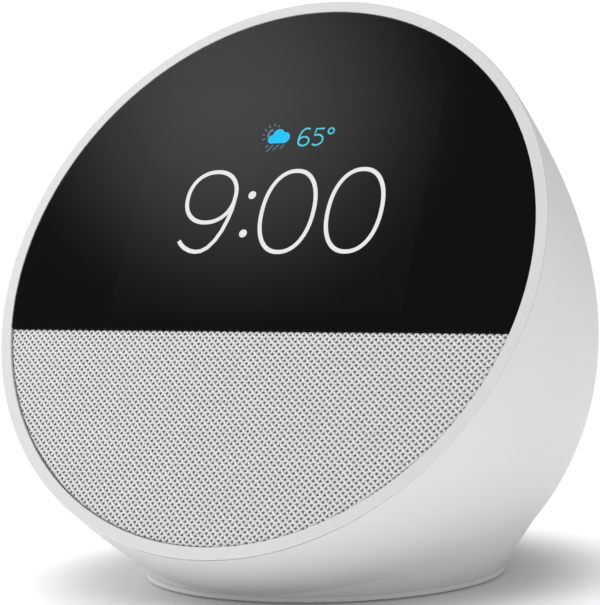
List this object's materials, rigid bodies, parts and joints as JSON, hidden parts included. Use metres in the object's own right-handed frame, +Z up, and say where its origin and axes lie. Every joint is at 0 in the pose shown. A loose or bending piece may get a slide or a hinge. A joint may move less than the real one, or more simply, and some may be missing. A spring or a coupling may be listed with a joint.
{
  "type": "smart display",
  "caption": "Small round tabletop display: a shell sliced by a leaning face with a dark screen over a woven speaker grille, sprung buttons on the upper back and a power socket low behind.",
  "frame": {"origin": "on the table, under the middle of the round base", "axes": "+Z up; the face looks towards -Y and leans back; +X is to the right of someone facing the screen; the buttons and the power socket are on the +Y side"},
  "size_m": [0.1129, 0.1014, 0.1098],
  "materials": {
    "housing_white": "fine matt moulded plastic",
    "bezel_white": "fine matt moulded plastic",
    "base_white": "matt moulded plastic",
    "pad_rubber": "matt",
    "screw_steel": "zinc plated",
    "frame_grey": "moulded",
    "glass_black": "polished, printed black on the inside",
    "adhesive_black": "foam tape",
    "film_black": "gloss",
    "screen_black": "gloss",
    "backlight_white": "satin",
    "flex_amber": "satin",
    "carrier_grey": "moulded",
    "fabric_white": "open knitted net",
    "basket_black": "powder coat",
    "foam_black": "foam",
    "surround_rubber": "satin",
    "cone_black": "pressed paper",
    "coil_copper": "lacquered copper",
    "spider_cloth": "stiffened cloth",
    "plate_steel": "zinc plated",
    "magnet_ferrite": "ground",
    "lead_red": "wire insulation",
    "lead_black": "wire insulation",
    "board_green": "solder mask",
    "shield_tin": "tin plated",
    "thermal_blue": "soft pad",
    "spreader_aluminium": "mill finish",
    "connector_ivory": "moulded",
    "jack_black": "moulded",
    "switch_grey": "moulded",
    "boot_rubber": "soft",
    "button_white": "fine matt moulded plastic"
  },
  "bodies": {
    "casing": {"rear_housing": "housing_white", "front_bezel": "bezel_white", "base_plate": "base_white", "foot_pads": "pad_rubber", "base_screws": "screw_steel", "inner_frame": "frame_grey", "frame_screws": "screw_steel", "housing_screws": "screw_steel", "cover_glass": "glass_black", "glass_adhesive": "adhesive_black", "touch_sensor": "film_black", "lcd_panel": "screen_black", "backlight": "backlight_white", "display_flex": "flex_amber", "grille_carrier": "carrier_grey", "grille_fabric": "fabric_white", "speaker_basket": "basket_black", "speaker_gasket": "foam_black", "speaker_surround": "surround_rubber", "speaker_spider": "spider_cloth", "speaker_top_plate": "plate_steel", "speaker_magnet": "magnet_ferrite", "speaker_yoke": "plate_steel", "speaker_screws": "screw_steel", "speaker_leads": "lead_red", "main_board": "board_green", "board_screws": "screw_steel", "shield_cans": "shield_tin", "thermal_pads": "thermal_blue", "heat_spreader": "spreader_aluminium", "board_connectors": "connector_ivory", "power_board": "board_green", "power_jack": "jack_black", "power_screws": "screw_steel", "power_leads": "lead_black", "button_board": "board_green", "button_board_screws": "screw_steel", "button_switches": "switch_grey", "microphones": "shield_tin", "microphone_boots": "boot_rubber", "button_flex": "flex_amber"},
    "volume_down_button": {"volume_down_button": "button_white"},
    "mic_off_button": {"mic_off_button": "button_white"},
    "volume_up_button": {"volume_up_button": "button_white"},
    "diaphragm": {"speaker_cone": "cone_black", "dust_cap": "cone_black", "voice_coil": "coil_copper"}
  },
  "joints": [
    {"name": "volume_down_press", "type": "slide", "parent": "casing", "child": "volume_down_button", "axis": [0, -0.6621, -0.7494], "range_m": [0, 0.0005], "stiffness_N_per_m": 1500},
    {"name": "mic_off_press", "type": "slide", "parent": "casing", "child": "mic_off_button", "axis": [0, -0.6621, -0.7494], "range_m": [0, 0.0005], "stiffness_N_per_m": 1500},
    {"name": "volume_up_press", "type": "slide", "parent": "casing", "child": "volume_up_button", "axis": [0, -0.6621, -0.7494], "range_m": [0, 0.0005], "stiffness_N_per_m": 1500},
    {"name": "cone_stroke", "type": "slide", "parent": "casing", "child": "diaphragm", "axis": [0, -0.8846, 0.4664], "range_m": [-0.0015, 0.0015], "stiffness_N_per_m": 1000, "deforming": ["speaker_surround", "speaker_spider"]}
  ]
}
